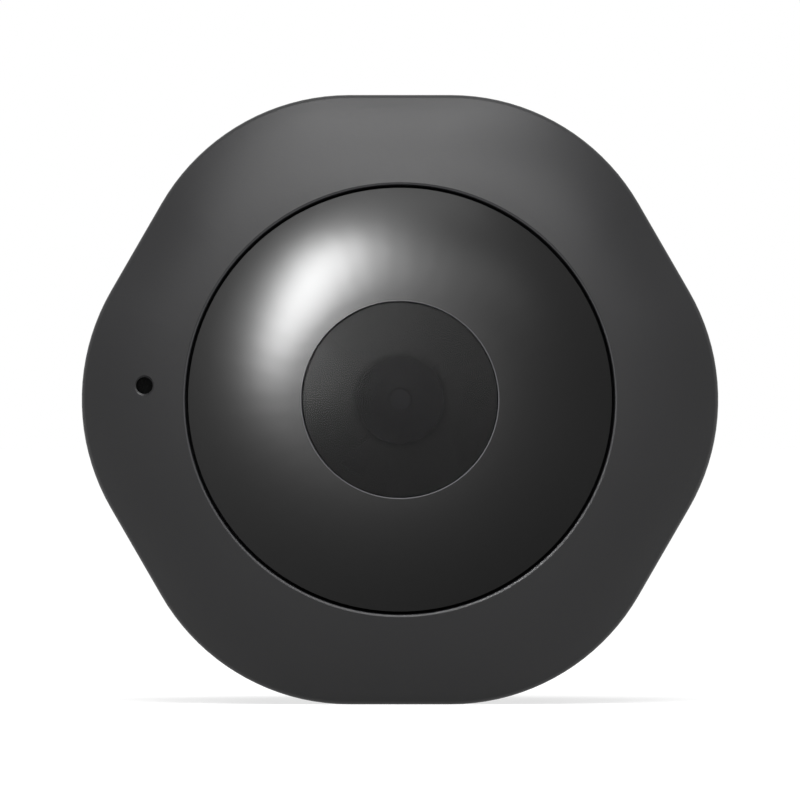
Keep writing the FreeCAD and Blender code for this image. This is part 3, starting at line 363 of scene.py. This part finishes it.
# %% Coat over the clear circle
circle_radius = 2.9 * millimetre
ring_radius = 3.5 * millimetre
circle_tint = "#6e6e6e"
ring_tint = "#9e9e9e"
tree = finishes["window_acrylic"].node_tree
position = tree.nodes["Texture Coordinate"].outputs["Object"]
toward_ring = add_node(tree, "ShaderNodeMapRange", {"From Min": circle_radius, "From Max": ring_radius},
                       {"Value": from_lens_axis(tree, position)})
coat_tint = add_node(tree, "ShaderNodeMixRGB",
                     {"Color1": linear(circle_tint), "Color2": linear(ring_tint)},
                     {"Fac": toward_ring.outputs["Result"]})
tree.links.new(coat_tint.outputs["Color"], tree.nodes["Principled BSDF"].inputs["Specular Tint"])
print("share reflected: circle", round(linear(circle_tint)[0], 2), "ring", round(linear(ring_tint)[0], 2))

# %% [markdown]
# ## Metals
# The socket's shell and the shield can are nickel or tin on steel sheet, the screws are black zinc,
# the magnet is bright nickel, the contacts are gold and the battery's pouch is laminated foil.
# Rolled sheet has lines drawn out along one direction, so the recipe draws out a noise along an axis.
# Real lines are a few hundredths of a millimetre wide. They are drawn as coarse as they need to show.

# %% Plated and rolled metal
def metal(name, swatch, worn_swatch, roughness, line_mm, stretch, depth_mm):
    """Metal with fine lines: a stretch below 1 draws the noise out along that axis."""
    material, tree, shader, position = fresh_surface(name, swatch, roughness, Metallic=1.0)
    along = add_node(tree, "ShaderNodeMapping", {"Scale": stretch}, {"Vector": position})
    lines = add_node(tree, "ShaderNodeTexNoise", {"Scale": per_mm(line_mm), "Detail": 3.0},
                     {"Vector": along.outputs["Vector"]})
    tone = add_node(tree, "ShaderNodeMixRGB", {"Color1": linear(swatch), "Color2": linear(worn_swatch)},
                    {"Fac": lines.outputs["Fac"]})
    tree.links.new(tone.outputs["Color"], shader.inputs["Base Color"])
    rough = add_node(tree, "ShaderNodeMapRange",
                     {"From Min": noise_low, "From Max": noise_high,
                      "To Min": 0.8 * roughness, "To Max": 1.2 * roughness},
                     {"Value": lines.outputs["Fac"]})
    tree.links.new(rough.outputs["Result"], shader.inputs["Roughness"])
    bump = add_node(tree, "ShaderNodeBump", {"Strength": 1.0, "Distance": depth_mm * millimetre},
                    {"Height": lines.outputs["Fac"]})
    tree.links.new(bump.outputs["Normal"], shader.inputs["Normal"])
    return material


drawn_out = 0.08
even = (1.0, 1.0, 1.0)
along_x = (drawn_out, 1.0, 1.0)
along_y = (1.0, drawn_out, 1.0)
metal_recipes = {
    # finish: material, colour, colour of the lines, roughness, line in mm, stretch, line's depth in mm
    "socket_steel": ("steel_sheet_nickel_plated", "#b6b5b2", "#c9c8c4", 0.3, 0.12, along_x, 0.002),
    "shield_can": ("steel_sheet_tinned", "#c4c4c2", "#b2b2b0", 0.35, 0.15, along_x, 0.002),
    "screw_steel": ("steel_black_zinc", "#3b3b3d", "#55555a", 0.38, 0.1, even, 0.003),
    "magnet_nickel": ("neodymium_nickel_plated", "#c0bfba", "#aeada8", 0.2, 0.4, even, 0.002),
    "contact_gold": ("gold_plated_contact", "#d9ac52", "#e2bb6c", 0.22, 0.1, along_x, 0.001),
    "battery_foil": ("aluminium_laminate_pouch", "#a9aaac", "#bcbdbf", 0.32, 1.2, even, 0.02),
}
for finish, recipe in metal_recipes.items():
    finishes[finish] = metal(*recipe)
print("metal finishes:", list(metal_recipes))

# %% [markdown]
# ## Microphone capsule
# The microphone is a small can of drawn aluminium, and its front is closed by a disc of black felt
# that keeps dust out. The felt shows at the bottom of the sound hole. The hole looks black partly from
# the felt and partly from the shade deep in the hole, and the felt's near-pure black holds that
# painted shade too.
# The can and the felt are one solid, so the first tenth of a millimetre of its depth gets the felt.

# %% Drawn can with a felt front
felt_depth = 0.1 * millimetre
# Near-pure black: the felt's own black with the hole's shade painted in.
felt_and_shade_black = "#020202"
felt_shine = 0.04
capsule_low, capsule_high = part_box("microphone")
capsule = metal("aluminium_drawn_can_felt_front", "#c8c9ca", "#b4b5b6", 0.3, 0.15, along_y, 0.002)
tree = capsule.node_tree
shader = tree.nodes["Principled BSDF"]
capsule_axes = add_node(tree, "ShaderNodeSeparateXYZ",
                        links={"Vector": tree.nodes["Texture Coordinate"].outputs["Object"]})
behind_felt = add_node(tree, "ShaderNodeMath", {"operation": "GREATER_THAN", 1: capsule_low.y + felt_depth},
                       {0: capsule_axes.outputs["Y"]})
can_colour = shader.inputs["Base Color"].links[0].from_socket
felt_or_can = add_node(tree, "ShaderNodeMixRGB", {"Color1": linear(felt_and_shade_black)},
                       {"Fac": behind_felt.outputs["Value"], "Color2": can_colour})
tree.links.new(felt_or_can.outputs["Color"], shader.inputs["Base Color"])
tree.links.new(behind_felt.outputs["Value"], shader.inputs["Metallic"])
shader.inputs["Specular IOR Level"].default_value = felt_shine
finishes["capsule_aluminium"] = capsule
capsule_across = (capsule_high.x - capsule_low.x) / millimetre
print("felt", felt_depth / millimetre, "mm thick on a can", round(capsule_across, 2), "mm across")

# %% [markdown]
# ## Black anodised barrel
# The lens barrel is turned aluminium, anodised a deep black so that it swallows stray light.
# Its surface is dull, because anodising roughens the metal and the dye sits in its pores, so it is
# shaded as a dark surface and not as bare metal. The thread and the turning marks are out of sight in
# the lens holder. One slow wave of about three millimetres along the depth keeps the sides from
# looking flat. The pores are far finer than a pixel, so they are drawn as coarse as they need to show.

# %% Anodised barrel
barrel_roughness = 0.42
pore_swing = 0.06
pore_mm = 0.08
wave_mm = math.pi
wave_depth_mm = 0.02
waves_per_unit = 20 / (2 * math.pi)  # how many waves the texture has in one unit at scale 1
barrel, tree, shader, position = fresh_surface("aluminium_turned_black_anodised", "#0d0d0e",
                                               barrel_roughness, Specular_IOR_Level=0.15)
rings = add_node(tree, "ShaderNodeTexWave",
                 {"bands_direction": "Y", "Scale": per_mm(wave_mm) / waves_per_unit, "Distortion": 0.0},
                 {"Vector": position})
pores = add_node(tree, "ShaderNodeTexNoise", {"Scale": per_mm(pore_mm)}, {"Vector": position})
matt = add_node(tree, "ShaderNodeMapRange",
                {"To Min": barrel_roughness - pore_swing, "To Max": barrel_roughness + pore_swing},
                {"Value": pores.outputs["Fac"]})
tree.links.new(matt.outputs["Result"], shader.inputs["Roughness"])
turned = add_node(tree, "ShaderNodeBump", {"Strength": 1.0, "Distance": wave_depth_mm * millimetre},
                  {"Height": rings.outputs["Fac"]})
tree.links.new(turned.outputs["Normal"], shader.inputs["Normal"])
finishes["barrel_aluminium"] = barrel
print("barrel waves", round(wave_mm, 2), "mm long, texture scale",
      round(rings.inputs["Scale"].default_value, 2))

# %% [markdown]
# ## Ink, rubber and tape
# The ring behind the window is ink pressed through a mesh, and it keeps a faint weave of that mesh.
# Rubber is matt and nearly even, and tape and foam adhesive are fibrous.
# They share one recipe of small cells, set by their size and by how far they shift the tone. A real
# printing mesh is a little finer than the 0.12 mm drawn here, which is as coarse as it needs to show.

# %% Soft and printed finishes
def fibrous(name, swatch, lifted_swatch, roughness, strand_mm, stretch, depth_mm, specular):
    """A dull surface of small cells that are paler and higher toward their edges."""
    material, tree, shader, position = fresh_surface(name, swatch, roughness, Specular_IOR_Level=specular)
    along = add_node(tree, "ShaderNodeMapping", {"Scale": stretch}, {"Vector": position})
    strands = add_node(tree, "ShaderNodeTexVoronoi", {"Scale": per_mm(strand_mm)},
                       {"Vector": along.outputs["Vector"]})
    tone = add_node(tree, "ShaderNodeMixRGB", {"Color1": linear(swatch), "Color2": linear(lifted_swatch)},
                    {"Fac": strands.outputs["Distance"]})
    tree.links.new(tone.outputs["Color"], shader.inputs["Base Color"])
    bump = add_node(tree, "ShaderNodeBump", {"Strength": 1.0, "Distance": depth_mm * millimetre},
                    {"Height": strands.outputs["Distance"]})
    tree.links.new(bump.outputs["Normal"], shader.inputs["Normal"])
    return material


tissue_fibre = (0.2, 1.0, 1.0)
fibrous_recipes = {
    # finish: material, colour, paler colour, roughness, cell in mm, stretch, cell's depth in mm, shine
    "mask_ink": ("ink_screen_printed", "#222223", "#27272a", 0.6, 0.12, even, 0.002, 0.3),
    "baffle_rubber": ("silicone_moulded_sleeve", "#161616", "#1c1c1c", 0.7, 0.2, even, 0.003, 0.3),
    "boot_rubber": ("silicone_moulded_boot", "#1a1a1a", "#202020", 0.7, 0.2, even, 0.003, 0.3),
    "adhesive": ("adhesive_foam_tape", "#151515", "#1d1d1d", 0.85, 0.1, even, 0.01, 0.2),
    "tape": ("tissue_tape", "#d2cfc6", "#dedbd2", 0.8, 0.15, tissue_fibre, 0.01, 0.3),
}
for finish, recipe in fibrous_recipes.items():
    finishes[finish] = fibrous(*recipe)
print("soft and printed finishes:", list(fibrous_recipes))

# %% [markdown]
# ## Red and black leads
# The battery and the microphone each have a pair of leads in soft PVC, one red and one black.
# The two leads of a pair are one piece of the drawing, so the colour changes with the height, between
# the battery's leads. The microphone's pair sits a little higher, so the top of its black lead turns
# red too. Neither pair shows from outside.
# The skin of soft PVC is smooth with a faint unevenness, which a shallow noise gives.

# %% PVC leads
lead_black = "#1b1b1c"
lead_red = "#8f1a17"
colour_change = axis_height + 0.5 * millimetre
skin_mm = 0.3
skin_depth_mm = 0.004
lead, tree, shader, position = fresh_surface("pvc_soft_lead", lead_black, 0.45)
lead_axes = add_node(tree, "ShaderNodeSeparateXYZ", links={"Vector": position})
upper = add_node(tree, "ShaderNodeMath", {"operation": "GREATER_THAN", 1: colour_change},
                 {0: lead_axes.outputs["Z"]})
pair = add_node(tree, "ShaderNodeMixRGB", {"Color1": linear(lead_black), "Color2": linear(lead_red)},
                {"Fac": upper.outputs["Value"]})
tree.links.new(pair.outputs["Color"], shader.inputs["Base Color"])
skin = add_node(tree, "ShaderNodeTexNoise", {"Scale": per_mm(skin_mm)}, {"Vector": position})
soft = add_node(tree, "ShaderNodeBump", {"Strength": 1.0, "Distance": skin_depth_mm * millimetre},
                {"Height": skin.outputs["Fac"]})
tree.links.new(soft.outputs["Normal"], shader.inputs["Normal"])
finishes["lead_pvc"] = lead
print("leads change colour at", round(colour_change / millimetre, 2), "mm")

# %% [markdown]
# ## Circuit boards
# A board is woven glass in resin under green solder mask. The copper tracks show through the mask
# as slightly lighter lines, and the weave shows as a faint square ripple.
# Brick joints stand for the tracks: they run straight and turn square, as tracks do.

# %% Circuit board
mask_green = "#0e4a2c"
deep_green = "#0c4127"
track_green = "#2d7a4b"
brick_unit_mm = 0.9
brick_width = 2.6
row_height = 0.8
weave_mm = 0.45
weave_depth_mm = 0.004
board, tree, shader, position = fresh_surface("glass_laminate_solder_mask", mask_green, 0.3)
board_axes = add_node(tree, "ShaderNodeSeparateXYZ", links={"Vector": position})
plane = add_node(tree, "ShaderNodeCombineXYZ",
                 links={"X": board_axes.outputs["X"], "Y": board_axes.outputs["Z"]})
tracks = add_node(tree, "ShaderNodeTexBrick",
                  {"Color1": linear(mask_green), "Color2": linear(deep_green), "Mortar": linear(track_green),
                   "Scale": per_mm(brick_unit_mm), "Mortar Size": 0.06,
                   "Brick Width": brick_width, "Row Height": row_height},
                  {"Vector": plane.outputs["Vector"]})
tree.links.new(tracks.outputs["Color"], shader.inputs["Base Color"])
weave = add_node(tree, "ShaderNodeTexChecker", {"Scale": per_mm(weave_mm)},
                 {"Vector": plane.outputs["Vector"]})
relief = add_node(tree, "ShaderNodeBump", {"Strength": 0.6, "Distance": weave_depth_mm * millimetre},
                  {"Height": weave.outputs["Fac"]})
tree.links.new(relief.outputs["Normal"], shader.inputs["Normal"])
finishes["board_laminate"] = board
print("tracks in mm:", round(row_height * brick_unit_mm, 2), "apart, turning every",
      round(brick_width * brick_unit_mm, 2), "and the weave is", weave_mm)

# %% [markdown]
# ## Lamps and small ceramics
# The infrared lamps and the status light are cast in pale epoxy. The antenna is glazed ceramic and
# the capacitors are plain fired ceramic. All are shaped in a form, so the recipe for mouldings serves
# them too, with less roughness for the cast and glazed faces.

# %% Lamp epoxy and ceramics
cast_recipes = {
    # finish: material, colour, colour of the flow, roughness, grain in mm, grain's depth in mm, shine
    "lamp_epoxy": ("lamp_epoxy_cast", "#cdbf96", "#dacfa9", 0.25, 0.3, 0.002, 0.5),
    "antenna_ceramic": ("ceramic_glazed_antenna", "#dfe2e4", "#cfd3d6", 0.2, 0.25, 0.002, 0.5),
    "capacitor_ceramic": ("ceramic_fired_capacitor", "#8a6238", "#9d7548", 0.35, 0.15, 0.003, 0.5),
}
for finish, recipe in cast_recipes.items():
    finishes[finish] = moulded_plastic(*recipe)
print("cast and fired finishes:", list(cast_recipes))

# %% [markdown]
# ## Image sensor
# The sensor is a dark chip under glass, and its rows of pixels shimmer in violet and blue. A thin
# film on the shader gives the shimmer. Real pixels are thousandths of a millimetre wide, so squares
# of 0.2 mm stand for them, as coarse as they need to show.

# %% Sensor under glass
sensor_dark = "#1a1626"
sensor_light = "#2b1f3d"
pixel_mm = 0.2
film_nanometres = 480.0
film_index = 1.7
sensor, tree, shader, position = fresh_surface("sensor_chip_under_glass", sensor_dark, 0.12,
                                               Thin_Film_Thickness=film_nanometres,
                                               Thin_Film_IOR=film_index)
pixels = add_node(tree, "ShaderNodeTexChecker",
                  {"Color1": linear(sensor_dark), "Color2": linear(sensor_light), "Scale": per_mm(pixel_mm)},
                  {"Vector": position})
tree.links.new(pixels.outputs["Color"], shader.inputs["Base Color"])
finishes["sensor_package"] = sensor
print("finishes in all:", len(finishes))

# %% [markdown]
# ## Dress every piece
# The drawing names a finish for each piece. Each solid keeps its mesh, and only its material changes.

# %% Give each solid its finish
wanted = {part["node"]: part["material_slot"] for part in frame["record"]["subparts"]}
for name, solid in frame["nodes"].items():
    solid.data.materials.clear()
    solid.data.materials.append(finishes[wanted[name]])
spare = sorted(set(finishes) - set(wanted.values()))
print("dressed", len(wanted), "pieces; finishes no piece uses:", spare)

# %% [markdown]
# ## What is seen and what lights
# Floor and background are plain white where the camera, a reflection or a clear piece shows them, so
# those three kinds of ray get white. The light that falls on the object doesn't come from that white:
# every other ray sees a quiet grey, so the background can be pure white and the plastic stays dark.

# %% Rays that see white
plain_white = "#ffffff"


def seen_directly(tree):
    """1 for rays of the camera, of reflections and of light through clear pieces, otherwise 0."""
    path = add_node(tree, "ShaderNodeLightPath")
    first = add_node(tree, "ShaderNodeMath", {"operation": "MAXIMUM"},
                     {0: path.outputs["Is Camera Ray"], 1: path.outputs["Is Glossy Ray"]})
    both = add_node(tree, "ShaderNodeMath", {"operation": "MAXIMUM"},
                    {0: first.outputs["Value"], 1: path.outputs["Is Transmission Ray"]})
    return both.outputs["Value"]


print("white in linear light:", linear(plain_white)[:3])

# %% [markdown]
# ## Pale floor
# The camera stands on matt white paper. Near the object the paper glows at three quarters of white
# and adds its own shading, so the object's shadow stays on it. The glow rises to white a metre away.
# The floor is stage and no piece of the part.

# %% Floor
floor_reach = 6.0
glow_near = 0.75
glow_near_end = 0.05
white_from = 1.0
paper_grey = "#9a9a9a"

corners = [(-floor_reach, -floor_reach, 0), (floor_reach, -floor_reach, 0),
           (floor_reach, floor_reach, 0), (-floor_reach, floor_reach, 0)]
floor_mesh = bpy.data.meshes.new("pale_floor")
floor_mesh.from_pydata(corners, [], [(0, 1, 2, 3)])
floor = bpy.data.objects.new("pale_floor", floor_mesh)
bpy.context.scene.collection.objects.link(floor)
floor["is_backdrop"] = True

paper = bpy.data.materials.new("paper_matt_white")
paper.use_nodes = True
tree = paper.node_tree
tree.nodes.clear()
shaded = add_node(tree, "ShaderNodeBsdfDiffuse", {"Color": linear(paper_grey)})
floor_position = add_node(tree, "ShaderNodeTexCoord").outputs["Object"]
away = add_node(tree, "ShaderNodeVectorMath", {"operation": "LENGTH"}, {0: floor_position})
rise = add_node(tree, "ShaderNodeMapRange",
                {"From Min": glow_near_end, "From Max": white_from, "To Min": glow_near, "To Max": 1.0},
                {"Value": away.outputs["Value"]})
glow = add_node(tree, "ShaderNodeEmission", {"Color": linear(plain_white)},
                {"Strength": rise.outputs["Result"]})
lit = add_node(tree, "ShaderNodeAddShader", links={0: glow.outputs[0], 1: shaded.outputs[0]})
floor_choice = add_node(tree, "ShaderNodeMixShader",
                        links={"Fac": seen_directly(tree), 1: shaded.outputs[0], 2: lit.outputs[0]})
add_node(tree, "ShaderNodeOutputMaterial", links={"Surface": floor_choice.outputs[0]})
floor_mesh.materials.append(paper)
print("floor", 2 * floor_reach, "m across")

# %% [markdown]
# ## White background
# The world is the white behind the floor's far edge and all that reflections find above the floor.
# The same three kinds of ray see it white, and for the light that falls on the object it is dim.

# %% World
dim_light = 0.15
world = bpy.data.worlds.new("white_studio")
bpy.context.scene.world = world
world.use_nodes = True
tree = world.node_tree
tree.nodes.clear()
dim = add_node(tree, "ShaderNodeBackground", {"Color": linear(plain_white), "Strength": dim_light})
white = add_node(tree, "ShaderNodeBackground", {"Color": linear(plain_white), "Strength": 1.0})
world_choice = add_node(tree, "ShaderNodeMixShader",
                        links={"Fac": seen_directly(tree), 1: dim.outputs[0], 2: white.outputs[0]})
add_node(tree, "ShaderNodeOutputWorld", links={"Surface": world_choice.outputs[0]})
print("ambient light", dim_light, "of white")

# %% [markdown]
# ## How a lamp is placed
# A softbox is a rectangular lamp that faces the lens. Its place is given the way a photographer would
# say it from the lens: how far off the axis, how far round, and how far away.
# Its brightness is given as the eye would see it, with white at 1. Blender asks for watts, and four
# watts on each square metre of lamp give that white.

# %% Softboxes and snoots
watts_for_white = 4


def toward(off_axis, turn, distance):
    """A place seen from the lens: degrees off the lens axis, then degrees round it from +X to +Z."""
    ahead = math.cos(math.radians(off_axis))
    aside = math.sin(math.radians(off_axis))
    return lens_axis + distance * Vector((aside * math.cos(math.radians(turn)), -ahead,
                                          aside * math.sin(math.radians(turn))))


def softbox(name, place, width, height, brightness):
    """A rectangular lamp that faces the lens axis, with its brightness as seen by the eye."""
    data = bpy.data.lights.new(name, "AREA")
    data.shape = "RECTANGLE"
    data.size = width
    data.size_y = height
    data.energy = watts_for_white * width * height * brightness
    lamp = bpy.data.objects.new(name, data)
    lamp.location = place
    lamp.rotation_euler = (lens_axis - place).to_track_quat("-Z", "Y").to_euler()
    bpy.context.scene.collection.objects.link(lamp)
    return lamp


def shine_only_on(lamp, names):
    """Keeps a lamp to some pieces, as a snoot does."""
    reached = bpy.data.collections.new(lamp.name + "_reach")
    for name in names:
        reached.objects.link(frame["nodes"][name])
    lamp.light_linking.receiver_collection = reached


print("a place one metre ahead of the lens:", [round(side, 3) for side in toward(0, 0, 1)])

# %% [markdown]
# ## Lamps
# Three softboxes above and in front light the bezel, which is brightest along its top and falls off
# to both sides, and a weak one near the lens axis lifts the shade. The key light stands up and left.
# Its reflection is the bright crescent on the dome: the dome leans further the further a place lies
# from the window, so a lamp 37 degrees off the lens axis shows halfway out. It lights the dome alone,
# like a lamp with a snoot. Two large soft lamps to the left do the same for the window, whose printed
# ring is palest on that side. Places and strengths follow from the shades read in the photograph.

# %% The seven lamps
near = 0.6
far = 2.0
lamp_table = {
    # name: degrees off the axis, degrees round it, distance, width and height in metres, brightness
    "overhead_left_softbox": (45.4, 107.9, near, 0.48, 0.46, 4.5),
    "overhead_right_softbox": (36, 72, near, 0.47, 0.185, 6.1),
    "overhead_softbox": (72.5, 88, near, 0.46, 0.244, 7.4),
    "front_fill": (8, 90, far, 1.2, 1.2, 1.0),
    "dome_softbox": (37.2, 129.6, near, 0.2, 0.4, 220.0),
    "window_upper_softbox": (20, 135, far, 1.2, 1.2, 1.14),
    "window_side_softbox": (27, 180, far, 1.2, 1.2, 4.84),
}
lamps = {}
for name, (off_axis, turn, distance, width, height, brightness) in lamp_table.items():
    lamps[name] = softbox(name, toward(off_axis, turn, distance), width, height, brightness)
shine_only_on(lamps["dome_softbox"], ["lens_dome"])
shine_only_on(lamps["window_upper_softbox"], ["front_window"])
shine_only_on(lamps["window_side_softbox"], ["front_window"])
print("lamps:", list(lamps))

# %% [markdown]
# ## Camera
# The picture is taken straight at the lens from far away, so the outline shows almost no perspective.
# A long lens does that. Its focal length follows from how much of the picture the housing fills.
# The lens axis lies a third of a pixel above the picture's middle, which a tiny shift gives.
# The outline's width and the axis's place from the top are in pixels of the picture. The outline is
# widest 6.5 mm in front of y = 0.

# %% Camera
picture_pixels = 800
outline_pixels = 609.4
axis_pixel = 399.7
sensor_width = 36.0
stand_off = 1.2
outline_y = -0.0065
seen_width = across_flats * picture_pixels / outline_pixels

camera_data = bpy.data.cameras.new("portrait_lens")
camera_data.sensor_width = sensor_width
camera_data.lens = sensor_width * (stand_off + outline_y) / seen_width
camera_data.shift_y = (axis_pixel - picture_pixels / 2) / picture_pixels
camera_data.clip_start = 0.01
camera = bpy.data.objects.new("portrait_camera", camera_data)
camera.location = lens_axis + Vector((0, -stand_off, 0))
camera.rotation_euler = (math.radians(90), 0, 0)
bpy.context.scene.collection.objects.link(camera)
bpy.context.scene.camera = camera
bpy.context.scene.view_settings.view_transform = "Standard"
print("focal length", round(camera_data.lens, 1), "mm for", round(seen_width / millimetre, 2), "mm across")

# %% [markdown]
# ## Last checks
# The dressed model has to fill the same box as the bare solids, so the move of the far corner from one box
# to the other is printed.

# %% Sizes and finish
dressed_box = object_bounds()
growth = [round((after - before) / millimetre, 4) for before, after in zip(solid_box[1], dressed_box[1])]
print("the box's far corner moved by", growth, "mm")
